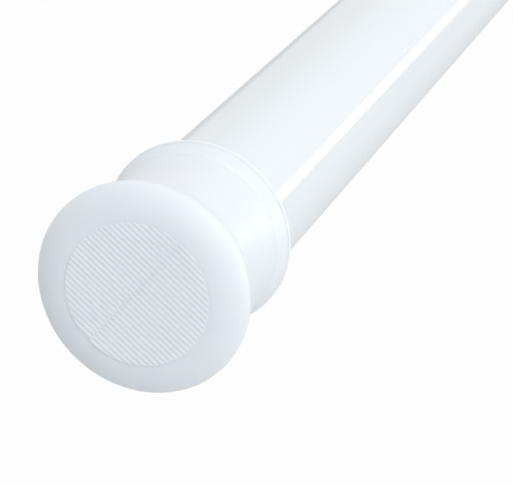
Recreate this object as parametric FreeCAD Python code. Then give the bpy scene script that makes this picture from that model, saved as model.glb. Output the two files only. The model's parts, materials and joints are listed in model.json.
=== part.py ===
import FreeCAD, Part
import math
import os

# Spring tension rod: two steel tubes, one inside the other, with a soft ribbed cap at each end.
# Millimetres. +X runs along the rod from the outer tube's cap to the inner tube's cap, and +Z is up.
# The origin is the centre of the outer tube's cap, on the ribs that press against the wall.
# Twisting the inner tube turns a hub with two cams, which wedges a split ring in the outer tube.
# A spring between that lock and the inner tube then holds the rod between two walls.

# Tubes
OUTER_TUBE_DIAMETER = 25.4
OUTER_TUBE_LENGTH = 546.0
TUBE_WALL = 0.6
TUBE_GAP = 1.0

# How far the rod is drawn out here, and what is left between its ends when it is pushed shut
DRAWN_OUT = 50.0
SHUT_CAP_GAP = 27.5
SHUT_BOLT_GAP = 8.7

# Clearances
GRIP_CLEARANCE = 0.02
RUNNING_CLEARANCE = 0.1
LOOSE_CLEARANCE = 0.15

# End cap, measured back from its flat face, and inward or outward from the outer tube's surface
CAP_LENGTH = 26.8
CAP_FLAT_INSET = 1.1
CAP_KNOB_STAND = 3.95
CAP_KNOB_DEPTH = 3.5
CAP_KNOB_BACK_RADIUS = 4.2
CAP_HOLLOW_RADIUS = 5.0
CAP_WAIST_STAND = 1.0
CAP_RIM_START = 23.6
CAP_RIM_STAND = 2.55
CAP_RIM_EDGE = 0.5
CAP_FLOOR = 5.0

# Straight steps that each round stretch of the cap's outline is turned with
CAP_FRONT_STEPS = 7
CAP_BACK_STEPS = 3
CAP_HOLLOW_STEPS = 4

# Ribs on the cap's face: two half-round fields either side of a seam, slightly out of step
RIB_FIELD_INSET = 0.35
RIB_LOWER_PITCH = 0.779
RIB_UPPER_PITCH = 0.76
RIB_UPPER_SHIFT = 0.13
RIB_HEIGHT = 0.35
RIB_TOP = 0.3
RIB_BASE = 0.58
RIB_ROOT = 0.3
RIB_SHORTEST = 1.0
RIB_TILT = 40.0
RIB_SEAM_OFFSET = 0.5
RIB_SEAM_GAP = 0.06

# Steel disc in the bottom of each cap, under the tube's end
DISC_THICKNESS = 1.0

# Bush in the outer tube's mouth
BUSH_SLEEVE_LENGTH = 20.0
BUSH_LIP_LENGTH = 3.0
BUSH_LIP_STAND = 0.8
BUSH_LIP_CHAMFER = 0.7

# Plug in the inner tube's hidden end, and its two pins
PLUG_BODY_LENGTH = 22.0
PLUG_COLLAR_LENGTH = 4.0
PLUG_PIN_DIAMETER = 2.5
PLUG_PIN_LENGTH = 4.5
PLUG_PIN_RECESS = 0.1
PLUG_PIN_INSET = 11.0

# Spring, and the spigots inside its ends
SPRING_WIRE = 2.2
SPRING_GAP = 1.3
SPRING_LENGTH = 80.0
SPRING_ACTIVE_TURNS = 8
SPRING_STEPS_PER_TURN = 12
SPRING_WIRE_SIDES = 6
SPIGOT_LENGTH = 10.0

# Lock: a hub with two offset half-round cams inside a split ring
HUB_FLANGE_LENGTH = 4.0
HUB_FLANGE_GAP = 0.5
RING_LENGTH = 15.0
RING_SIDE_CLEARANCE = 0.2
RING_WALL = 3.1
RING_SPLIT = 2.0
RING_SPLIT_TILT = 45.0
RING_CHAMFER = 0.6
CAM_OFFSET = 0.4
CAM_CLEARANCE = 0.38
CAM_BACKLASH_DEGREES = 1.0

# Bolt that holds the lock, the spring and the plug in line, with its washers and nut
BOLT_DIAMETER = 6.0
BOLT_ACROSS_FLATS = 5.0
BOLT_HEAD_ACROSS_FLATS = 10.0
BOLT_HEAD_HEIGHT = 4.0
BOLT_TAIL_LENGTH = 2.0
NUT_HEIGHT = 6.0
WASHER_THICKNESS = 1.2
HEAD_WASHER_GAP = 1.1
STOP_WASHER_GAP = 2.5

# Radii worked out from the sizes above
OUTER_RADIUS = OUTER_TUBE_DIAMETER / 2
OUTER_BORE = OUTER_RADIUS - TUBE_WALL
INNER_RADIUS = OUTER_BORE - TUBE_GAP
INNER_BORE = INNER_RADIUS - TUBE_WALL
CAP_FLAT_RADIUS = OUTER_RADIUS - CAP_FLAT_INSET
CAP_KNOB_RADIUS = OUTER_RADIUS + CAP_KNOB_STAND
CAP_WAIST_RADIUS = OUTER_RADIUS + CAP_WAIST_STAND
CAP_RIM_RADIUS = OUTER_RADIUS + CAP_RIM_STAND
RIB_FIELD_RADIUS = CAP_FLAT_RADIUS - RIB_FIELD_INSET
BUSH_LIP_RADIUS = OUTER_RADIUS + BUSH_LIP_STAND
HUB_FLANGE_RADIUS = OUTER_BORE - HUB_FLANGE_GAP
RING_BORE_RADIUS = OUTER_BORE - RING_WALL
HEAD_WASHER_RADIUS = OUTER_BORE - HEAD_WASHER_GAP
STOP_WASHER_RADIUS = INNER_BORE - STOP_WASHER_GAP
BOLT_RADIUS = BOLT_DIAMETER / 2
SPRING_MEAN_RADIUS = OUTER_BORE - SPRING_GAP - SPRING_WIRE / 2
SPRING_INSIDE = SPRING_MEAN_RADIUS * math.cos(math.pi / SPRING_STEPS_PER_TURN) - SPRING_WIRE / 2
SPIGOT_RADIUS = SPRING_INSIDE - LOOSE_CLEARANCE

# Places along the rod: the outer tube, then the lock, the spring and the plug, then the inner tube
CAP_STACK = RIB_HEIGHT + CAP_FLOOR + DISC_THICKNESS
CAP_SOCKET_DEPTH = CAP_LENGTH - CAP_FLOOR - DISC_THICKNESS
OUTER_TUBE_END = CAP_STACK + OUTER_TUBE_LENGTH
BOLT_START = CAP_STACK + SHUT_BOLT_GAP + DRAWN_OUT
BOLT_SHOULDER = BOLT_START + BOLT_HEAD_HEIGHT
HUB_START = BOLT_SHOULDER + WASHER_THICKNESS
RING_START = HUB_START + RING_SIDE_CLEARANCE
RING_END = RING_START + RING_LENGTH
HUB_CAM_END = RING_END + RING_SIDE_CLEARANCE
SPRING_START = HUB_CAM_END + HUB_FLANGE_LENGTH
SPRING_END = SPRING_START + SPRING_LENGTH
INNER_TUBE_START = SPRING_END + PLUG_COLLAR_LENGTH
PLUG_TAIL = INNER_TUBE_START + PLUG_BODY_LENGTH
NUT_START = PLUG_TAIL + WASHER_THICKNESS
NUT_END = NUT_START + NUT_HEIGHT
BOLT_END = NUT_END + BOLT_TAIL_LENGTH
INNER_TUBE_END = OUTER_TUBE_END + BUSH_LIP_LENGTH + SHUT_CAP_GAP + DRAWN_OUT + CAP_SOCKET_DEPTH
ROD_LENGTH = INNER_TUBE_END + CAP_STACK

ALONG = FreeCAD.Vector(1, 0, 0)
UP = FreeCAD.Vector(0, 0, 1)
CENTRE = FreeCAD.Vector(0, 0, 0)


def at(x, radius):
    """A point of a turned profile: its place along the rod and its distance from the axis."""
    return FreeCAD.Vector(x, 0, radius)


def turned(points):
    """The solid that a closed profile, straight from point to point, sweeps round the rod's axis."""
    return Part.Face(Part.makePolygon(points + points[:1])).revolve(CENTRE, ALONG, 360)


def cylinder(start, end, radius):
    return Part.makeCylinder(radius, end - start, FreeCAD.Vector(start, 0, 0), ALONG)


def hollow_cylinder(start, end, bore, radius):
    return cylinder(start, end, radius).cut(cylinder(start, end, bore))


def polygon(centre, radius, sides, across, aside):
    """A regular polygon about a centre, in the plane of two unit vectors."""
    corners = []
    for step in range(sides + 1):
        angle = 2 * math.pi * step / sides
        corners.append(centre + across * (radius * math.cos(angle)) + aside * (radius * math.sin(angle)))
    return Part.makePolygon(corners)


def hexagon(start, end, across_flats):
    outline = polygon(at(start, 0), across_flats / math.sqrt(3), 6, FreeCAD.Vector(0, 1, 0), UP)
    return Part.Face(outline).extrude(ALONG * (end - start))


def flatted_bar(start, end, clearance):
    """The bolt's shank, a round bar with two flats, or with a clearance the hole that takes it."""
    across = BOLT_ACROSS_FLATS + 2 * clearance
    wide = BOLT_DIAMETER + 2 * clearance
    slab = Part.makeBox(end - start, wide, across, FreeCAD.Vector(start, -wide / 2, -across / 2))
    return cylinder(start, end, BOLT_RADIUS + clearance).common(slab)


def arc_points(centre, radius, start, end, steps):
    """The points of an arc in the profile plane, after its first. Angles are in radians from +X outward."""
    points = []
    for step in range(1, steps + 1):
        angle = start + (end - start) * step / steps
        points.append(at(centre.x + radius * math.cos(angle), centre.z + radius * math.sin(angle)))
    return points


def knob_front(face):
    """The quarter ellipse between a cap's flat face and its widest place, after its first point."""
    points = []
    for step in range(1, CAP_FRONT_STEPS + 1):
        angle = math.pi / 2 * step / CAP_FRONT_STEPS
        rise = (CAP_KNOB_RADIUS - CAP_FLAT_RADIUS) * math.sin(angle)
        points.append(at(face + CAP_KNOB_DEPTH * (1 - math.cos(angle)), CAP_FLAT_RADIUS + rise))
    return points


def cap_outline(face):
    """A cap's outside, from its flat face over the knob, the waist and the flared rim to its open end."""
    knob = at(face + CAP_KNOB_DEPTH, CAP_KNOB_RADIUS - CAP_KNOB_BACK_RADIUS)
    apart = CAP_KNOB_BACK_RADIUS + CAP_HOLLOW_RADIUS
    rise = CAP_WAIST_RADIUS + CAP_HOLLOW_RADIUS - knob.z
    hollow = at(knob.x + math.sqrt(apart ** 2 - rise ** 2), knob.z + rise)
    leaving = math.asin(rise / apart)
    return (
        [at(face, CAP_FLAT_RADIUS)]
        + knob_front(face)
        + arc_points(knob, CAP_KNOB_BACK_RADIUS, math.pi / 2, leaving, CAP_BACK_STEPS)
        + arc_points(hollow, CAP_HOLLOW_RADIUS, leaving - math.pi, -math.pi / 2, CAP_HOLLOW_STEPS)
        + [at(face + CAP_RIM_START, CAP_WAIST_RADIUS)]
        + [at(face + CAP_LENGTH - CAP_RIM_EDGE, CAP_RIM_RADIUS)]
        + [at(face + CAP_LENGTH, CAP_RIM_RADIUS)]
    )


def rib_section(middle, seam):
    """One rib's section where it meets the seam, standing on the cap's face."""
    corners = [
        (RIB_HEIGHT + RIB_ROOT, -RIB_BASE / 2),
        (RIB_HEIGHT, -RIB_BASE / 2),
        (0, -RIB_TOP / 2),
        (0, RIB_TOP / 2),
        (RIB_HEIGHT, RIB_BASE / 2),
        (RIB_HEIGHT + RIB_ROOT, RIB_BASE / 2),
    ]
    points = [FreeCAD.Vector(x, seam, middle + aside) for x, aside in corners]
    return Part.Face(Part.makePolygon(points + points[:1]))


def half_field(side, pitch, shift):
    """The ribs on one side of the seam, each cut off at the field's round edge. Side is +1 or -1."""
    ribs = []
    seam = RIB_SEAM_OFFSET + side * RIB_SEAM_GAP / 2
    count = int(RIB_FIELD_RADIUS / pitch)
    for number in range(-count, count + 1):
        middle = number * pitch + shift
        half_chord = math.sqrt(max(RIB_FIELD_RADIUS ** 2 - middle ** 2, 0))
        reach = half_chord - side * seam
        if reach > RIB_SHORTEST:
            ribs.append(rib_section(middle, seam).extrude(FreeCAD.Vector(0, side * reach, 0)))
    return ribs


def cap_ribs():
    """Both half-round fields of ribs, turned to their slant on the cap's face."""
    upper = half_field(1, RIB_UPPER_PITCH, RIB_UPPER_SHIFT)
    lower = half_field(-1, RIB_LOWER_PITCH, 0)
    field = Part.makeCompound(upper + lower)
    field.rotate(CENTRE, ALONG, RIB_TILT)
    return field.Solids


def cap(tube_radius):
    """A soft cap with its rib tops in the plane of X = 0 and its socket open toward +X."""
    face = RIB_HEIGHT
    floor = face + CAP_FLOOR
    socket = tube_radius + GRIP_CLEARANCE
    inside = [at(face + CAP_LENGTH, socket), at(floor, socket), at(floor, 0), at(face, 0)]
    return turned(cap_outline(face) + inside).fuse(cap_ribs()).removeSplitter()


def far_side(shape):
    """The same shape at the rod's other end, facing the other way."""
    shape.rotate(CENTRE, UP, 180)
    shape.translate(ALONG * ROD_LENGTH)
    return shape


def cap_disc(tube_radius):
    return cylinder(RIB_HEIGHT + CAP_FLOOR, CAP_STACK, tube_radius - GRIP_CLEARANCE)


def outer_tube():
    return hollow_cylinder(CAP_STACK, OUTER_TUBE_END, OUTER_BORE, OUTER_RADIUS)


def mouth_bush():
    """A sleeve inside the outer tube's mouth, with a chamfered lip over the tube's end."""
    bore = INNER_RADIUS + RUNNING_CLEARANCE
    sleeve = OUTER_BORE - GRIP_CLEARANCE
    sleeve_start = OUTER_TUBE_END - BUSH_SLEEVE_LENGTH
    lip_end = OUTER_TUBE_END + BUSH_LIP_LENGTH
    return turned([
        at(sleeve_start, bore),
        at(sleeve_start, sleeve),
        at(OUTER_TUBE_END, sleeve),
        at(OUTER_TUBE_END, BUSH_LIP_RADIUS),
        at(lip_end - BUSH_LIP_CHAMFER, BUSH_LIP_RADIUS),
        at(lip_end, BUSH_LIP_RADIUS - BUSH_LIP_CHAMFER),
        at(lip_end, bore),
    ])


def cam_prism(start, end, radius):
    """Two half-round cams whose centres lie to either side of the axis, with a step where they meet."""
    upper_start = FreeCAD.Vector(start, CAM_OFFSET + radius, 0)
    upper_end = FreeCAD.Vector(start, CAM_OFFSET - radius, 0)
    lower_start = FreeCAD.Vector(start, -CAM_OFFSET - radius, 0)
    lower_end = FreeCAD.Vector(start, radius - CAM_OFFSET, 0)
    top = FreeCAD.Vector(start, CAM_OFFSET, radius)
    bottom = FreeCAD.Vector(start, -CAM_OFFSET, -radius)
    outline = Part.Wire([
        Part.Arc(upper_start, top, upper_end).toShape(),
        Part.LineSegment(upper_end, lower_start).toShape(),
        Part.Arc(lower_start, bottom, lower_end).toShape(),
        Part.LineSegment(lower_end, upper_start).toShape(),
    ])
    return Part.Face(outline).extrude(ALONG * (end - start))


def lock_ring():
    """The split ring that grips the outer tube, with the cams' track as its bore."""
    radius = OUTER_BORE - RUNNING_CLEARANCE
    body = turned([
        at(RING_START, 0),
        at(RING_START, radius - RING_CHAMFER),
        at(RING_START + RING_CHAMFER, radius),
        at(RING_END - RING_CHAMFER, radius),
        at(RING_END, radius - RING_CHAMFER),
        at(RING_END, 0),
    ])
    split = Part.makeBox(RING_LENGTH, RING_SPLIT, radius, FreeCAD.Vector(RING_START, -RING_SPLIT / 2, 0))
    split.rotate(CENTRE, ALONG, RING_SPLIT_TILT)
    return body.cut(cam_prism(RING_START, RING_END, RING_BORE_RADIUS)).cut(split)


def lock_hub():
    """The cams, the flange behind the ring and the spigot inside the spring, on one flatted bore."""
    cams = cam_prism(HUB_START, HUB_CAM_END, RING_BORE_RADIUS - CAM_CLEARANCE)
    cams.rotate(CENTRE, ALONG, CAM_BACKLASH_DEGREES)
    flange = cylinder(HUB_CAM_END, SPRING_START, HUB_FLANGE_RADIUS)
    spigot_end = SPRING_START + SPIGOT_LENGTH
    spigot = cylinder(SPRING_START, spigot_end, SPIGOT_RADIUS)
    bore = flatted_bar(HUB_START, spigot_end, GRIP_CLEARANCE)
    return cams.fuse([flange, spigot]).cut(bore).removeSplitter()


def lock_bolt():
    """The bolt, with its head before the lock and its flatted shank through to the nut."""
    head = hexagon(BOLT_START, BOLT_SHOULDER, BOLT_HEAD_ACROSS_FLATS)
    return head.fuse(flatted_bar(BOLT_SHOULDER, BOLT_END, 0)).removeSplitter()


def bolt_washer(start, radius):
    return hollow_cylinder(start, start + WASHER_THICKNESS, BOLT_RADIUS + LOOSE_CLEARANCE, radius)


def stop_nut():
    hole = cylinder(NUT_START, NUT_END, BOLT_RADIUS + GRIP_CLEARANCE)
    return hexagon(NUT_START, NUT_END, BOLT_HEAD_ACROSS_FLATS).cut(hole)


def spring_place(turn):
    """The wire's middle after some turns: a closed turn at each end and an even pitch between."""
    pitch = (SPRING_LENGTH - 3 * SPRING_WIRE) / SPRING_ACTIVE_TURNS
    open_turns = min(max(turn - 1, 0), SPRING_ACTIVE_TURNS)
    x = SPRING_START + SPRING_WIRE / 2 + (turn - open_turns) * SPRING_WIRE + open_turns * pitch
    angle = 2 * math.pi * turn
    return FreeCAD.Vector(x, SPRING_MEAN_RADIUS * math.cos(angle), SPRING_MEAN_RADIUS * math.sin(angle))


def spring():
    """A coil of wire, bent in short straight steps."""
    steps = (SPRING_ACTIVE_TURNS + 2) * SPRING_STEPS_PER_TURN
    path = Part.makePolygon([spring_place(step / SPRING_STEPS_PER_TURN) for step in range(steps + 1)])
    outward = FreeCAD.Vector(0, 1, 0)
    section = polygon(spring_place(0), SPRING_WIRE / 2, SPRING_WIRE_SIDES, outward, ALONG)
    return path.makePipeShell([section], True, False, 1)


def plug_pin(side):
    """A radial pin, just under the inner tube's surface, above or below the axis."""
    place = FreeCAD.Vector(INNER_TUBE_START + PLUG_PIN_INSET, 0, side * (INNER_RADIUS - PLUG_PIN_RECESS))
    return Part.makeCylinder(PLUG_PIN_DIAMETER / 2, PLUG_PIN_LENGTH, place, UP * -side)


def plug_pin_hole(side):
    """The hole for a pin, through the inner tube's wall and into the plug."""
    mouth = INNER_RADIUS + PLUG_PIN_RECESS
    depth = PLUG_PIN_LENGTH + 2 * PLUG_PIN_RECESS + GRIP_CLEARANCE
    place = FreeCAD.Vector(INNER_TUBE_START + PLUG_PIN_INSET, 0, side * mouth)
    return Part.makeCylinder(PLUG_PIN_DIAMETER / 2 + GRIP_CLEARANCE, depth, place, UP * -side)


def spring_plug():
    """The plug in the inner tube's end: body, collar and spigot, on a flatted bore for the bolt."""
    spigot_start = SPRING_END - SPIGOT_LENGTH
    collar = OUTER_BORE - LOOSE_CLEARANCE
    body = INNER_BORE - GRIP_CLEARANCE
    turned_body = turned([
        at(spigot_start, 0),
        at(spigot_start, SPIGOT_RADIUS),
        at(SPRING_END, SPIGOT_RADIUS),
        at(SPRING_END, collar),
        at(INNER_TUBE_START, collar),
        at(INNER_TUBE_START, body),
        at(PLUG_TAIL, body),
        at(PLUG_TAIL, 0),
    ])
    bore = flatted_bar(spigot_start, PLUG_TAIL, RUNNING_CLEARANCE)
    return turned_body.cut([bore, plug_pin_hole(1), plug_pin_hole(-1)])


def inner_tube():
    body = hollow_cylinder(INNER_TUBE_START, INNER_TUBE_END, INNER_BORE, INNER_RADIUS)
    return body.cut([plug_pin_hole(1), plug_pin_hole(-1)])


def all_pieces():
    return {
        "outer_tube": outer_tube(),
        "outer_tube_cap": cap(OUTER_RADIUS),
        "outer_cap_disc": cap_disc(OUTER_RADIUS),
        "mouth_bush": mouth_bush(),
        "lock_ring": lock_ring(),
        "lock_hub": lock_hub(),
        "lock_bolt": lock_bolt(),
        "head_washer": bolt_washer(BOLT_SHOULDER, HEAD_WASHER_RADIUS),
        "spring": spring(),
        "spring_plug": spring_plug(),
        "plug_pins": Part.makeCompound([plug_pin(1), plug_pin(-1)]),
        "stop_washer": bolt_washer(PLUG_TAIL, STOP_WASHER_RADIUS),
        "stop_nut": stop_nut(),
        "inner_tube": inner_tube(),
        "inner_tube_cap": far_side(cap(INNER_RADIUS)),
        "inner_cap_disc": far_side(cap_disc(INNER_RADIUS)),
    }


os.makedirs("parts", exist_ok=True)
for name, shape in all_pieces().items():
    shape.exportStep("parts/" + name + ".step")
    print(name, "valid", shape.isValid(), "solids", len(shape.Solids), "volume", round(shape.Volume, 1))
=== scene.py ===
import json
import math

import bmesh
import bpy
from mathutils import Matrix, Vector
from mathutils.geometry import delaunay_2d_cdt


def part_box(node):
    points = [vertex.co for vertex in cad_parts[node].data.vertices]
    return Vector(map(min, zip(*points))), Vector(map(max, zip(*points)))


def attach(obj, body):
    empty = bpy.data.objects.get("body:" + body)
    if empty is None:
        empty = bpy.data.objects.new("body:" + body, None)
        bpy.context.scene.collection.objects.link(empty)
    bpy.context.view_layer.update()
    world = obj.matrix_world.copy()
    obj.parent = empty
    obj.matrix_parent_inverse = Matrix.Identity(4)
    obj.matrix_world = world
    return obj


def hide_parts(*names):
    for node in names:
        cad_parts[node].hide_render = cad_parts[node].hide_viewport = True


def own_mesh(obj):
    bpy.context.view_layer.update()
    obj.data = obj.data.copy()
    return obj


# Spring tension rod: white enamelled tubes with a soft ribbed vinyl cap at each end.
# Metres. +X runs along the rod from the outer tube's cap, and +Z is up.
# Sizes written in millimetres are turned to metres by MM.

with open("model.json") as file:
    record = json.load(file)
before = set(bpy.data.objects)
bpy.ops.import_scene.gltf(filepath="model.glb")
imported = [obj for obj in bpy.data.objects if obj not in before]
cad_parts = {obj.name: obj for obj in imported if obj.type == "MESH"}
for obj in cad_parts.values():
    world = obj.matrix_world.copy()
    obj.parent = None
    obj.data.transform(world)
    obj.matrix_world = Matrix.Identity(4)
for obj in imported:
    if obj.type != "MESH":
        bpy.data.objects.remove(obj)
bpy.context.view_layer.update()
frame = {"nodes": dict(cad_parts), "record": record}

MM = 0.001

# Camera: a long lens in front of the outer tube's cap, above it and off toward -Y
CAMERA_PLACE = Vector((-0.2896, -0.1144, 0.1283))
CAMERA_FORWARD = Vector((0.8856, 0.2929, -0.3602))
CAMERA_UP = Vector((0.3422, 0.1131, 0.9329))
CAMERA_LENS = 161.7
CAMERA_SENSOR = 36
CAMERA_NEAREST = 0.01
CAMERA_FARTHEST = 50

# Light: a soft room, brightest above and a little toward +X and +Y, a soft box and a long strip
ROOM_BRIGHTER_SIDE = Vector((0.36, 0.23, 0.90))
ROOM_LEVEL = 0.43
ROOM_SWING = 0.48
ROOM_DIMMEST = 0.03
ROOM_SHADE_TINT = (0.92, 1.0, 1.08)
STRIP_LENGTH = 3.4
STRIP_HEIGHT = 0.15
STRIP_MIDDLE = Vector((1.3, -0.60, 0.0))
STRIP_POWER = 3.65
SOFTBOX_SIDE = Vector((-0.62, -0.48, 0.62))
SOFTBOX_DISTANCE = 1.6
SOFTBOX_SIZE = 2.0
SOFTBOX_POWER = 16.8

# White background: how much of its white shows in a reflection, and the pale floor
WHITE = (1, 1, 1)
ROOM_REFLECTED = 0.8
FLOOR_REFLECTED = 0.35
FLOOR_HEIGHT = -0.35
FLOOR_REACH = 8.0
FLOOR_COLOUR = (0.64, 0.65, 0.66)
FLOOR_ROUGHNESS = 0.9
FLOOR_SPECULAR = 0.1
FLOOR_WHITENESS = 0.96

# The part of a noise's range that most of it lies in
NOISE_LOW = 0.3
NOISE_HIGH = 0.7

# Facets round each turned part
SEGMENTS = 192
CAP_SEGMENTS = 256

# End cap, in millimetres. Places along it are measured back from its flat face
CAP_FACE_RING = 0.1
CAP_FLAT_RADIUS = 11.6
CAP_KNOB_RADIUS = 16.65
CAP_KNOB_DEPTH = 2.6
CAP_KNOB_FULLNESS = 1.65
CAP_KNOB_BACK_RADIUS = 3.9
CAP_FLANK_SLOPE = math.radians(28)
CAP_HOLLOW_RADIUS = 8.0
CAP_WAIST_RADIUS = 13.7
CAP_WAIST_WIDENS_AT = 14.5
CAP_WAIST_POWER = 2.0
CAP_CREASE_AT = 23.1
CAP_CREASE_RADIUS = 14.25
CAP_CREASE_DEPTH = 0.28
CAP_CREASE_WIDTH = 0.8
CAP_CREASE_RISE = 0.12
CAP_FLARE_POWER = 1.2
CAP_LENGTH = 26.8
CAP_RIM_RADIUS = 15.3
CAP_LIP_RADIUS = 0.28
CAP_LIP_START = math.radians(170)
CAP_LIP_GROOVE = 0.45
CAP_LIP_GROOVE_WIDTH = 0.34
CAP_FLOOR = 5.0
CAP_SOCKET_GAP = 0.02
CAP_SOCKET_MOUTH = 0.3

# Straight steps that each round stretch of the cap's outline is turned with
CAP_FRONT_STEPS = 18
CAP_BACK_STEPS = 10
CAP_HOLLOW_STEPS = 12
CAP_WAIST_STEPS = 12
CAP_CREASE_STEPS = 10
CAP_FLARE_STEPS = 10
CAP_LIP_STEPS = 8

# Ribs on the cap's face, in millimetres. They stand on a low pad, which is sunk on its upper side
RIB_FIELD_RADIUS = 11.25
RIB_LOWER_PITCH = 0.779
RIB_UPPER_PITCH = 0.76
RIB_UPPER_SHIFT = 0.13
RIB_HEIGHT = 0.35
RIB_SHORTEST = 1.0
RIB_LEAST_REACH = 0.8
RIB_TILT = math.radians(40)
RIB_SEAM_OFFSET = 0.5
RIB_SEAM_GAP = 0.02
RIB_SEAM_SLOPE = 0.05
RIB_GROOVE = 0.25
RIB_PAD_DROP = 0.28
RIB_FULLNESS = 0.8
RIB_SAMPLES = 10
RIB_END_SLOPE = 0.35
RIB_FOOT = 0.12

# A rib's rounded end: shares of its slope still ahead with shares of its rise there, and its last height,
# as a share of the grooves' height
RIB_END_SHAPE = ((1, 1), (0.6, 0.8), (0.25, 0.25))
RIB_END_HEIGHT = 0.85

# Points of the ribbed face that lie closer than this become one
SAME_POINT = 1e-6

# Tubes, and the holes for the plug's pins in the inner one, in millimetres
TUBE_WALL = 0.6
TUBE_EDGE = 0.12
PIN_HOLE_SEGMENTS = 32
PIN_HOLE_CLEARANCE = 0.02
SLIVER = 0.01

# How far the drill reaches to either side, as a multiple of the pins' reach from the axis
DRILL_REACH = 2.0

# Bush in the outer tube's mouth, in millimetres
BUSH_SLEEVE_INSET = 0.62
BUSH_BORE_GAP = 0.1
BUSH_LIP_BEVEL = 0.15
BUSH_LIP_ROUNDING = 0.7
BUSH_LIP_STEPS = 8
BUSH_MOUTH = 0.3

# Spring, in millimetres
SPRING_WIRE = 2.2
SPRING_MIDDLE_RADIUS = 9.7
SPRING_ACTIVE_TURNS = 8
SPRING_STEPS_PER_TURN = 48
SPRING_WIRE_SIDES = 16


def polar(centre, radius, start, end, steps):
    """Points of an arc in a turned profile, after its first. Angles are from +X outward."""
    points = []
    for step in range(1, steps + 1):
        angle = start + (end - start) * step / steps
        points.append((centre[0] + radius * math.cos(angle), centre[1] + radius * math.sin(angle)))
    return points


def turned_mesh(name, profile, segments, closed):
    """A mesh turned about the X axis. A point at radius 0 becomes one vertex on the axis."""
    vertices = []
    rings = []
    for x, radius in profile:
        if radius == 0:
            rings.append([len(vertices)] * segments)
            vertices.append((x, 0, 0))
            continue
        rings.append(list(range(len(vertices), len(vertices) + segments)))
        for step in range(segments):
            angle = 2 * math.pi * step / segments
            vertices.append((x, radius * math.cos(angle), radius * math.sin(angle)))
    faces = []
    pairs = list(zip(rings, rings[1:]))
    if closed:
        pairs.append((rings[-1], rings[0]))
    for near, far in pairs:
        for step in range(segments):
            after = (step + 1) % segments
            corners = [near[step], near[after], far[after], far[step]]
            unique = [corner for place, corner in enumerate(corners) if corner not in corners[:place]]
            if len(unique) > 2:
                faces.append(unique)
    mesh = bpy.data.meshes.new(name)
    mesh.from_pydata(vertices, [], faces)
    return mesh


def tidy_normals(mesh, sharp_degrees):
    """Makes the faces look outward, and shades them smooth apart from the sharp edges."""
    shape = bmesh.new()
    shape.from_mesh(mesh)
    bmesh.ops.recalc_face_normals(shape, faces=shape.faces)
    shape.to_mesh(mesh)
    shape.free()
    mesh.shade_smooth()
    mesh.set_sharp_from_angle(angle=math.radians(sharp_degrees))


def add_piece(name, mesh, body, slot):
    piece = bpy.data.objects.new(name, mesh)
    bpy.context.scene.collection.objects.link(piece)
    mesh.materials.append(MATERIALS[slot])
    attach(piece, body)
    return piece


# Materials


def new_material(name):
    material = bpy.data.materials.new(name)
    material.use_nodes = True
    return material, material.node_tree, material.node_tree.nodes["Principled BSDF"]


def noise(tree, cells, detail, stretch):
    """A noise texture in the object's own coordinates, with its size in cells per metre."""
    place = tree.nodes.new("ShaderNodeTexCoord")
    mapping = tree.nodes.new("ShaderNodeMapping")
    mapping.inputs["Scale"].default_value = stretch
    texture = tree.nodes.new("ShaderNodeTexNoise")
    texture.inputs["Scale"].default_value = cells
    texture.inputs["Detail"].default_value = detail
    tree.links.new(place.outputs["Object"], mapping.inputs["Vector"])
    tree.links.new(mapping.outputs["Vector"], texture.inputs["Vector"])
    return texture.outputs["Fac"]


def between(tree, factor, low, high):
    """The factor, a noise about one half, spread between two values."""
    spread = tree.nodes.new("ShaderNodeMapRange")
    spread.inputs["From Min"].default_value = NOISE_LOW
    spread.inputs["From Max"].default_value = NOISE_HIGH
    spread.inputs["To Min"].default_value = low
    spread.inputs["To Max"].default_value = high
    tree.links.new(factor, spread.inputs["Value"])
    return spread.outputs["Result"]


def blended(tree, factor, first, second):
    """A mix of two colours. Each is a tuple or another node's output."""
    mix = tree.nodes.new("ShaderNodeMix")
    mix.data_type = "RGBA"
    for name, colour in (("A", first), ("B", second)):
        if isinstance(colour, tuple):
            mix.inputs[name].default_value = (*colour, 1)
        else:
            tree.links.new(colour, mix.inputs[name])
    tree.links.new(factor, mix.inputs["Factor"])
    return mix.outputs["Result"]


def calculated(tree, operation, value, *numbers):
    """The result of a Math node. The numbers after the first value may be outputs too."""
    node = tree.nodes.new("ShaderNodeMath")
    node.operation = operation
    tree.links.new(value, node.inputs[0])
    for place, number in enumerate(numbers, start=1):
        if isinstance(number, float):
            node.inputs[place].default_value = number
        else:
            tree.links.new(number, node.inputs[place])
    return node.outputs["Value"]


def coloured(tree, surface, first, second, cells, detail, stretch=(1, 1, 1)):
    """Gives a surface a colour that drifts between two."""
    patches = between(tree, noise(tree, cells, detail, stretch), 0, 1)
    tree.links.new(blended(tree, patches, first, second), surface.inputs["Base Color"])


def roughened(tree, surface, low, high, cells, detail, stretch=(1, 1, 1)):
    """Gives a surface a roughness that drifts between two values."""
    roughness = between(tree, noise(tree, cells, detail, stretch), low, high)
    tree.links.new(roughness, surface.inputs["Roughness"])


def grained(tree, surface, depth, strength, cells, detail, stretch=(1, 1, 1)):
    """Gives a surface a fine relief, its depth in metres, on top of any that it has."""
    bump = tree.nodes.new("ShaderNodeBump")
    bump.inputs["Distance"].default_value = depth
    bump.inputs["Strength"].default_value = strength
    tree.links.new(noise(tree, cells, detail, stretch), bump.inputs["Height"])
    normal = surface.inputs["Normal"]
    if normal.is_linked:
        tree.links.new(normal.links[0].from_socket, bump.inputs["Normal"])
    tree.links.new(bump.outputs["Normal"], normal)


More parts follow.
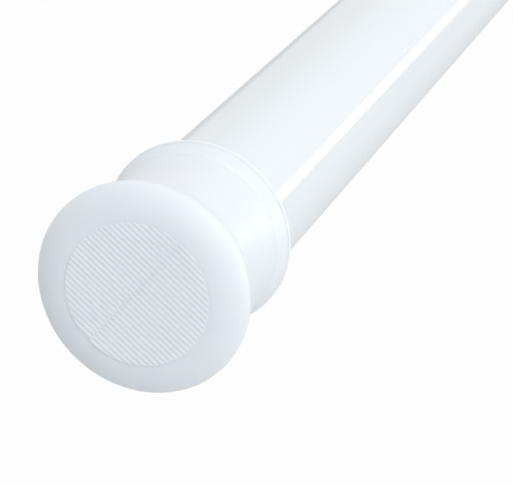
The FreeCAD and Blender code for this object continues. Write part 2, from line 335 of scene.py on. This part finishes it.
def cap_vinyl():
    """Soft white vinyl: a cool white with light passing a little way in, and a fine moulded grain."""
    material, tree, surface = new_material("cap_vinyl")
    coloured(tree, surface, (0.800, 0.836, 0.866), (0.822, 0.846, 0.874), cells=140, detail=4)
    roughened(tree, surface, low=0.34, high=0.42, cells=420, detail=3)
    surface.inputs["Subsurface Weight"].default_value = 0.6
    surface.inputs["Subsurface Radius"].default_value = (1.0, 0.95, 0.9)
    surface.inputs["Subsurface Scale"].default_value = 0.0012
    surface.inputs["Specular IOR Level"].default_value = 0.40
    grained(tree, surface, depth=0.00006, strength=0.5, cells=260, detail=2)
    grained(tree, surface, depth=0.000008, strength=0.5, cells=5200, detail=2)
    return material


def tube_enamel():
    """Glossy white enamel with a faint orange peel."""
    material, tree, surface = new_material("tube_enamel")
    along = (0.3, 1, 1)
    coloured(tree, surface, (0.790, 0.826, 0.850), (0.804, 0.834, 0.856), cells=60, detail=3, stretch=along)
    roughened(tree, surface, low=0.05, high=0.08, cells=180, detail=3)
    surface.inputs["Specular IOR Level"].default_value = 0.30
    grained(tree, surface, depth=0.000010, strength=0.4, cells=700, detail=2)
    return material


def bush_plastic():
    """Moulded white plastic, a shade warmer and duller than the tubes."""
    material, tree, surface = new_material("bush_plastic")
    coloured(tree, surface, (0.780, 0.800, 0.812), (0.800, 0.815, 0.822), cells=200, detail=3)
    roughened(tree, surface, low=0.32, high=0.42, cells=900, detail=3)
    grained(tree, surface, depth=0.00001, strength=0.5, cells=3800, detail=3)
    return material


def lock_nylon():
    """Natural nylon: warm off-white, waxy, with faint flow marks."""
    material, tree, surface = new_material("lock_nylon")
    along = (0.4, 1, 1)
    coloured(tree, surface, (0.640, 0.615, 0.530), (0.700, 0.680, 0.600), cells=160, detail=4, stretch=along)
    roughened(tree, surface, low=0.38, high=0.52, cells=700, detail=3)
    surface.inputs["Subsurface Weight"].default_value = 0.3
    surface.inputs["Subsurface Scale"].default_value = 0.001
    grained(tree, surface, depth=0.00002, strength=0.6, cells=2600, detail=3)
    return material


def plug_plastic():
    """Moulded black plastic with a fine spark-eroded grain."""
    material, tree, surface = new_material("plug_plastic")
    coloured(tree, surface, (0.016, 0.016, 0.018), (0.030, 0.030, 0.032), cells=300, detail=3)
    roughened(tree, surface, low=0.42, high=0.6, cells=1500, detail=3)
    grained(tree, surface, depth=0.00003, strength=0.6, cells=4200, detail=3)
    return material


def plated_steel():
    """Zinc plated steel: bright, with faint scratches and cloudy plating."""
    material, tree, surface = new_material("plated_steel")
    coloured(tree, surface, (0.560, 0.575, 0.590), (0.660, 0.665, 0.660), cells=500, detail=4)
    surface.inputs["Metallic"].default_value = 1.0
    roughened(tree, surface, low=0.22, high=0.38, cells=900, detail=4, stretch=(0.15, 1, 1))
    grained(tree, surface, depth=0.00001, strength=0.5, cells=3000, detail=4, stretch=(0.1, 1, 1))
    return material


def spring_steel():
    """Drawn spring wire: grey steel under a thin film of oil, browner in places."""
    material, tree, surface = new_material("spring_steel")
    coloured(tree, surface, (0.250, 0.245, 0.240), (0.360, 0.365, 0.375), cells=240, detail=4)
    surface.inputs["Metallic"].default_value = 1.0
    roughened(tree, surface, low=0.24, high=0.44, cells=1200, detail=4)
    grained(tree, surface, depth=0.000012, strength=0.5, cells=6000, detail=3, stretch=(1, 0.2, 0.2))
    return material


MATERIALS = {
    "cap_vinyl": cap_vinyl(),
    "tube_enamel": tube_enamel(),
    "bush_plastic": bush_plastic(),
    "lock_nylon": lock_nylon(),
    "plug_plastic": plug_plastic(),
    "plated_steel": plated_steel(),
    "spring_steel": spring_steel(),
}


def dress_cad_nodes():
    """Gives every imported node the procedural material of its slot."""
    for part in frame["record"]["subparts"]:
        mesh = frame["nodes"][part["node"]].data
        mesh.materials.clear()
        mesh.materials.append(MATERIALS[part["material_slot"]])


# End caps


def eased(start, end, power, steps):
    """Points between two places of a turned profile, after the first, on a curve that bends outward late."""
    points = []
    for step in range(1, steps + 1):
        share = step / steps
        points.append((start[0] + (end[0] - start[0]) * share,
                       start[1] + (end[1] - start[1]) * share ** power))
    return points


def knob_front():
    """The rounding from the flat face to the cap's widest place, after its first point."""
    power = 2 / CAP_KNOB_FULLNESS
    points = []
    for step in range(1, CAP_FRONT_STEPS):
        angle = math.pi / 2 * step / CAP_FRONT_STEPS
        rise = (CAP_KNOB_RADIUS - CAP_FLAT_RADIUS) * math.sin(angle) ** power
        points.append((CAP_KNOB_DEPTH * (1 - math.cos(angle) ** power), CAP_FLAT_RADIUS + rise))
    return points + [(CAP_KNOB_DEPTH, CAP_KNOB_RADIUS)]


def knob_back_and_hollow():
    """The knob's rounded back, its slanting flank and the hollow that runs out into the waist."""
    quarter = math.pi / 2
    knob = (CAP_KNOB_DEPTH, CAP_KNOB_RADIUS - CAP_KNOB_BACK_RADIUS)
    back = polar(knob, CAP_KNOB_BACK_RADIUS, quarter, quarter - CAP_FLANK_SLOPE, CAP_BACK_STEPS)
    flank_start, flank_top = back[-1]
    flank_foot = CAP_WAIST_RADIUS + CAP_HOLLOW_RADIUS * (1 - math.cos(CAP_FLANK_SLOPE))
    flank_end = flank_start + (flank_top - flank_foot) / math.tan(CAP_FLANK_SLOPE)
    hollow_middle = flank_end + CAP_HOLLOW_RADIUS * math.sin(CAP_FLANK_SLOPE)
    hollow = (hollow_middle, CAP_WAIST_RADIUS + CAP_HOLLOW_RADIUS)
    return back + polar(hollow, CAP_HOLLOW_RADIUS, -quarter - CAP_FLANK_SLOPE, -quarter, CAP_HOLLOW_STEPS)


def waist_and_crease():
    """The waist, a little wider toward the rim, and the soft crease at the rim's foot."""
    crease_start = CAP_CREASE_AT - CAP_CREASE_WIDTH / 2
    narrow = (CAP_WAIST_WIDENS_AT, CAP_WAIST_RADIUS)
    wide = (crease_start, CAP_CREASE_RADIUS)
    crease = []
    for step in range(1, CAP_CREASE_STEPS + 1):
        share = step / CAP_CREASE_STEPS
        dip = CAP_CREASE_DEPTH * math.sin(math.pi * share) ** 2
        rise = CAP_CREASE_RISE * share
        crease.append((crease_start + CAP_CREASE_WIDTH * share, CAP_CREASE_RADIUS + rise - dip))
    return [narrow] + eased(narrow, wide, CAP_WAIST_POWER, CAP_WAIST_STEPS) + crease


def flared_rim(foot):
    """The rim's hollow flare up from its foot, and its lip behind a fine groove."""
    lip = (CAP_LENGTH - CAP_LIP_RADIUS, CAP_RIM_RADIUS - CAP_LIP_RADIUS)
    groove = (lip[0] - CAP_LIP_RADIUS - CAP_LIP_GROOVE_WIDTH / 2, lip[1] - CAP_LIP_GROOVE)
    brow = (groove[0] - CAP_LIP_GROOVE_WIDTH / 2, lip[1])
    edge = (lip[0] + CAP_LIP_RADIUS * math.cos(CAP_LIP_START),
            lip[1] + CAP_LIP_RADIUS * math.sin(CAP_LIP_START))
    flare = eased(foot, brow, CAP_FLARE_POWER, CAP_FLARE_STEPS)
    return flare + [groove, edge] + polar(lip, CAP_LIP_RADIUS, CAP_LIP_START, 0, CAP_LIP_STEPS)


def cap_profile(socket_radius):
    """A cap's section in millimetres, from the edge of its flat face round to the axis in its socket."""
    face = [(0, CAP_FLAT_RADIUS - CAP_FACE_RING), (0, CAP_FLAT_RADIUS)]
    waist = waist_and_crease()
    rear = [
        (CAP_LENGTH, socket_radius + CAP_SOCKET_MOUTH),
        (CAP_LENGTH - CAP_SOCKET_MOUTH, socket_radius),
        (CAP_FLOOR, socket_radius),
        (CAP_FLOOR, 0),
    ]
    return face + knob_front() + knob_back_and_hollow() + waist + flared_rim(waist[-1]) + rear


def rib_line(along_seam, side, reach, crest):
    """Places and heights along one line of a half field, from its seam out to the foot of its end."""
    line = [(0, RIB_GROOVE), (RIB_SEAM_SLOPE, crest), (reach / 2, crest)]
    for ahead, risen in RIB_END_SHAPE:
        line.append((reach - RIB_END_SLOPE * ahead, RIB_GROOVE + (crest - RIB_GROOVE) * risen))
    line += [(reach, RIB_GROOVE * RIB_END_HEIGHT), (reach + RIB_FOOT, 0)]
    return [(along_seam + side * outward, height) for outward, height in line]


def half_chord(across):
    """Half the width of the round field of ribs at a distance from its middle."""
    return math.sqrt(max(RIB_FIELD_RADIUS ** 2 - across ** 2, 0))


def half_field(side, pitch, shift):
    """The lines of one half-round field of ribs, each a row of points along, across and up from the face."""
    along_seam = RIB_SEAM_OFFSET + side * RIB_SEAM_GAP / 2
    count = int(RIB_FIELD_RADIUS / pitch)
    middles = []
    for number in range(-count, count + 1):
        middle = number * pitch + shift
        if half_chord(middle) - side * along_seam > RIB_SHORTEST:
            middles.append(middle)
    start = middles[0] - pitch / 2
    lines = []
    for column in range(len(middles) * RIB_SAMPLES + 1):
        across = start + pitch * column / RIB_SAMPLES
        reach = max(half_chord(across) - side * along_seam, RIB_LEAST_REACH)
        wave = 0.5 - 0.5 * math.cos(2 * math.pi * column / RIB_SAMPLES)
        crest = RIB_GROOVE + (RIB_HEIGHT - RIB_GROOVE) * wave ** RIB_FULLNESS
        sunk = RIB_PAD_DROP * (0.5 + 0.5 * across / RIB_FIELD_RADIUS)
        lines.append([(along, across, max(height - sunk, 0) if height else 0)
                      for along, height in rib_line(along_seam, side, reach, crest)])
    for line, outward in ((lines[0], -RIB_FOOT), (lines[-1], RIB_FOOT)):
        lines.append([(along, across + outward, 0) for along, across, _ in line[1:-1]])
    return lines


def ribbed_face(rim):
    """The cap's face inside a ring of points: both half fields of ribs, triangulated as one surface."""
    turned_back = Matrix.Rotation(-RIB_TILT, 3, "X")
    points = [turned_back @ point for point in rim]
    edges = [(place, (place + 1) % len(rim)) for place in range(len(rim))]
    for side, pitch, shift in ((1, RIB_UPPER_PITCH, RIB_UPPER_SHIFT), (-1, RIB_LOWER_PITCH, 0)):
        for line in half_field(side, pitch, shift):
            first = len(points)
            points += [Vector((-height, along, across)) for along, across, height in line]
            edges += [(place, place + 1) for place in range(first, len(points) - 1)]
    flat = [Vector((point.y, point.z)) for point in points]
    _, _, faces, sources, _, _ = delaunay_2d_cdt(flat, edges, [], 0, SAME_POINT)
    tilted = Matrix.Rotation(RIB_TILT, 3, "X")
    placed = [tilted @ points[source[0]] for source in sources]
    return placed, faces, sources


def cap_mesh(name, socket_radius):
    """A cap's mesh in millimetres, with its flat face at X = 0 and its ribs standing toward -X."""
    mesh = turned_mesh(name, cap_profile(socket_radius), CAP_SEGMENTS, closed=False)
    shape = bmesh.new()
    shape.from_mesh(mesh)
    shape.verts.ensure_lookup_table()
    rim = shape.verts[:CAP_SEGMENTS]
    placed, faces, sources = ribbed_face([vertex.co.copy() for vertex in rim])
    corners = []
    for point, source in zip(placed, sources):
        corners.append(rim[source[0]] if source[0] < CAP_SEGMENTS else shape.verts.new(point))
    for face in faces:
        shape.faces.new([corners[corner] for corner in face])
    shape.to_mesh(mesh)
    shape.free()
    return mesh


def end_caps():
    """Both caps, each set on its own tube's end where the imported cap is."""
    turn = Matrix.Rotation(math.pi, 4, "Z")
    for node, tube, body in (("outer_tube_cap", "outer_tube", "outer_rod"),
                             ("inner_tube_cap", "inner_tube", "inner_rod")):
        low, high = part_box(node)
        tube_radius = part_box(tube)[1].z / MM
        mesh = cap_mesh("soft_" + node, tube_radius + CAP_SOCKET_GAP)
        mesh.transform(Matrix.Scale(MM, 4))
        if body == "outer_rod":
            mesh.transform(Matrix.Translation((low.x + RIB_HEIGHT * MM, 0, 0)))
        else:
            mesh.transform(turn)
            mesh.transform(Matrix.Translation((high.x - RIB_HEIGHT * MM, 0, 0)))
        tidy_normals(mesh, sharp_degrees=50)
        piece = add_piece("soft_" + node, mesh, body, "cap_vinyl")
        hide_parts(node)


# Tubes, bush and spring


def tube_mesh(name, low, high):
    """A plain tube with its cut ends a little rounded."""
    edge = TUBE_EDGE * MM
    outside = high.z
    bore = outside - TUBE_WALL * MM
    profile = [
        (low.x, bore + edge), (low.x, outside - edge), (low.x + edge, outside),
        (high.x - edge, outside), (high.x, outside - edge), (high.x, bore + edge),
        (high.x - edge, bore), (low.x + edge, bore),
    ]
    return turned_mesh(name, profile, SEGMENTS, closed=True)


def with_pin_holes(mesh):
    """The inner tube's mesh with a round hole over each pin of its plug."""
    low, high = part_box("plug_pins")
    radius = (high.x - low.x) / 2 + PIN_HOLE_CLEARANCE * MM
    drill = bmesh.new()
    bmesh.ops.create_cone(drill, cap_ends=True, segments=PIN_HOLE_SEGMENTS, radius1=radius, radius2=radius,
                          depth=2 * DRILL_REACH * high.z)
    drill_mesh = bpy.data.meshes.new("drill")
    drill.to_mesh(drill_mesh)
    drill.free()
    drill_mesh.transform(Matrix.Translation(((low.x + high.x) / 2, 0, 0)))
    tube = bpy.data.objects.new("undrilled", mesh)
    cutter = bpy.data.objects.new("drill", drill_mesh)
    for holder in (tube, cutter):
        bpy.context.scene.collection.objects.link(holder)
    cut = tube.modifiers.new("pin_holes", "BOOLEAN")
    cut.operation = "DIFFERENCE"
    cut.solver = "EXACT"
    cut.object = cutter
    drilled = bpy.data.meshes.new_from_object(tube.evaluated_get(bpy.context.evaluated_depsgraph_get()))
    for holder in (tube, cutter):
        bpy.data.objects.remove(holder)
    bpy.data.meshes.remove(mesh)
    bpy.data.meshes.remove(drill_mesh)
    shape = bmesh.new()
    shape.from_mesh(drilled)
    bmesh.ops.remove_doubles(shape, verts=shape.verts, dist=SLIVER * MM)
    bmesh.ops.dissolve_degenerate(shape, edges=shape.edges, dist=SLIVER * MM)
    shape.to_mesh(drilled)
    shape.free()
    return drilled


def tubes():
    for node, body in (("outer_tube", "outer_rod"), ("inner_tube", "inner_rod")):
        low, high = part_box(node)
        mesh = tube_mesh("enamelled_" + node, low, high)
        tidy_normals(mesh, sharp_degrees=30)
        if node == "inner_tube":
            mesh = with_pin_holes(mesh)
            tidy_normals(mesh, sharp_degrees=30)
        piece = add_piece("enamelled_" + node, mesh, body, "tube_enamel")
        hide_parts(node)


def bush():
    """The white bush in the outer tube's mouth, with a rounded lip."""
    low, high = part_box("mouth_bush")
    tube_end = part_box("outer_tube")[1].x
    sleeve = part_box("outer_tube")[1].z - BUSH_SLEEVE_INSET * MM
    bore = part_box("inner_tube")[1].z + BUSH_BORE_GAP * MM
    lip = high.z
    bevel = BUSH_LIP_BEVEL * MM
    rounding = BUSH_LIP_ROUNDING * MM
    mouth = BUSH_MOUTH * MM
    profile = [
        (low.x, bore), (low.x, sleeve), (tube_end, sleeve),
        (tube_end, lip - bevel), (tube_end + bevel, lip), (high.x - rounding, lip),
        *polar((high.x - rounding, lip - rounding), rounding, math.pi / 2, 0, BUSH_LIP_STEPS),
        (high.x, bore + mouth), (high.x - mouth, bore),
    ]
    mesh = turned_mesh("white_bush", profile, SEGMENTS, closed=True)
    tidy_normals(mesh, sharp_degrees=30)
    piece = add_piece("white_bush", mesh, "outer_rod", "bush_plastic")
    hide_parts("mouth_bush")


def coil_mesh(low, high):
    """A coil of round wire. Each closed end turn takes up one wire, and so does the wire's own thickness."""
    wire = SPRING_WIRE * MM
    middle = SPRING_MIDDLE_RADIUS * MM
    pitch = (high.x - low.x - 3 * wire) / SPRING_ACTIVE_TURNS
    around = SPRING_WIRE_SIDES
    count = (SPRING_ACTIVE_TURNS + 2) * SPRING_STEPS_PER_TURN
    vertices = []
    for step in range(count + 1):
        turn = step / SPRING_STEPS_PER_TURN
        open_turns = min(max(turn - 1, 0), SPRING_ACTIVE_TURNS)
        x = low.x + wire / 2 + (turn - open_turns) * wire + open_turns * pitch
        angle = 2 * math.pi * turn
        outward = Vector((0, math.cos(angle), math.sin(angle)))
        for place in range(around):
            swing = 2 * math.pi * place / around
            point = Vector((x, 0, 0)) + outward * (middle + wire / 2 * math.cos(swing))
            point.x += wire / 2 * math.sin(swing)
            vertices.append(point)
    faces = []
    for step in range(count):
        for place in range(around):
            after = (place + 1) % around
            faces.append((step * around + place, step * around + after,
                          (step + 1) * around + after, (step + 1) * around + place))
    faces.append(tuple(range(around)))
    faces.append(tuple(count * around + place for place in range(around)))
    mesh = bpy.data.meshes.new("coil_spring")
    mesh.from_pydata(vertices, [], faces)
    return mesh


def spring():
    """The lock's spring, drawn as a coil of round wire at the imported spring's length."""
    low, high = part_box("spring")
    mesh = coil_mesh(low, high)
    tidy_normals(mesh, sharp_degrees=50)
    piece = add_piece("coil_spring", mesh, "lock_core", "spring_steel")
    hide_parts("spring")
    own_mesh(piece)


# Floor, light and camera


def white_to_the_eye(tree, reflected):
    """One for rays from the camera, less in a reflection or through glass, and nought for the rest."""
    path = tree.nodes.new("ShaderNodeLightPath")
    total = path.outputs["Is Camera Ray"]
    for kind in ("Is Glossy Ray", "Is Transmission Ray"):
        share = calculated(tree, "MULTIPLY", path.outputs[kind], reflected)
        total = calculated(tree, "MAXIMUM", total, share)
    return total


def floor():
    bpy.ops.mesh.primitive_plane_add(size=2 * FLOOR_REACH, location=(0, 0, FLOOR_HEIGHT))
    plane = bpy.context.object
    plane.name = "floor"
    material, tree, surface = new_material("floor")
    surface.inputs["Base Color"].default_value = (*FLOOR_COLOUR, 1)
    surface.inputs["Roughness"].default_value = FLOOR_ROUGHNESS
    surface.inputs["Specular IOR Level"].default_value = FLOOR_SPECULAR
    glow = tree.nodes.new("ShaderNodeEmission")
    glow.inputs["Strength"].default_value = 1.0
    whiteness = calculated(tree, "MULTIPLY", white_to_the_eye(tree, FLOOR_REFLECTED), FLOOR_WHITENESS)
    mix = tree.nodes.new("ShaderNodeMixShader")
    tree.links.new(whiteness, mix.inputs["Fac"])
    tree.links.new(surface.outputs["BSDF"], mix.inputs[1])
    tree.links.new(glow.outputs["Emission"], mix.inputs[2])
    tree.links.new(mix.outputs["Shader"], tree.nodes["Material Output"].inputs["Surface"])
    plane.data.materials.append(material)


def room():
    """The world's light: plain white to the eye, and for lighting a soft swing toward the brighter side."""
    world = bpy.data.worlds.new("room")
    bpy.context.scene.world = world
    world.use_nodes = True
    tree = world.node_tree
    place = tree.nodes.new("ShaderNodeTexCoord")
    swing = tree.nodes.new("ShaderNodeVectorMath")
    swing.operation = "DOT_PRODUCT"
    swing.inputs[1].default_value = ROOM_BRIGHTER_SIDE
    tree.links.new(place.outputs["Generated"], swing.inputs[0])
    level = calculated(tree, "MULTIPLY_ADD", swing.outputs["Value"], ROOM_SWING, ROOM_LEVEL)
    lit = tree.nodes.new("ShaderNodeVectorMath")
    lit.operation = "SCALE"
    tree.links.new(blended(tree, level, ROOM_SHADE_TINT, WHITE), lit.inputs[0])
    tree.links.new(calculated(tree, "MAXIMUM", level, ROOM_DIMMEST), lit.inputs["Scale"])
    seen = blended(tree, white_to_the_eye(tree, ROOM_REFLECTED), lit.outputs["Vector"], WHITE)
    tree.links.new(seen, tree.nodes["Background"].inputs["Color"])


def area_lamp(name, place, toward, width, height, power):
    lamp = bpy.data.lights.new(name, "AREA")
    lamp.shape = "RECTANGLE"
    lamp.size = width
    lamp.size_y = height
    lamp.energy = power
    holder = bpy.data.objects.new(name, lamp)
    bpy.context.scene.collection.objects.link(holder)
    holder.location = place
    holder.rotation_euler = (toward - place).to_track_quat("-Z", "Z").to_euler()


def lamps():
    """A soft box high in front, and the long strip whose reflection is the bright line along the tube."""
    softbox = SOFTBOX_SIDE.normalized() * SOFTBOX_DISTANCE
    area_lamp("softbox", softbox, Vector((0, 0, 0)), SOFTBOX_SIZE, SOFTBOX_SIZE, SOFTBOX_POWER)
    toward = Vector((STRIP_MIDDLE.x, 0, 0))
    area_lamp("strip", STRIP_MIDDLE, toward, STRIP_LENGTH, STRIP_HEIGHT, STRIP_POWER)


def camera():
    data = bpy.data.cameras.new("camera")
    data.sensor_width = CAMERA_SENSOR
    data.lens = CAMERA_LENS
    data.clip_start = CAMERA_NEAREST
    data.clip_end = CAMERA_FARTHEST
    holder = bpy.data.objects.new("camera", data)
    bpy.context.scene.collection.objects.link(holder)
    forward = CAMERA_FORWARD.normalized()
    right = forward.cross(CAMERA_UP).normalized()
    up = right.cross(forward)
    turn = Matrix((right, up, -forward)).transposed().to_4x4()
    holder.matrix_world = Matrix.Translation(CAMERA_PLACE) @ turn
    bpy.context.scene.camera = holder


bpy.context.scene.view_settings.view_transform = "Standard"
dress_cad_nodes()
end_caps()
tubes()
bush()
spring()
floor()
room()
lamps()
camera()
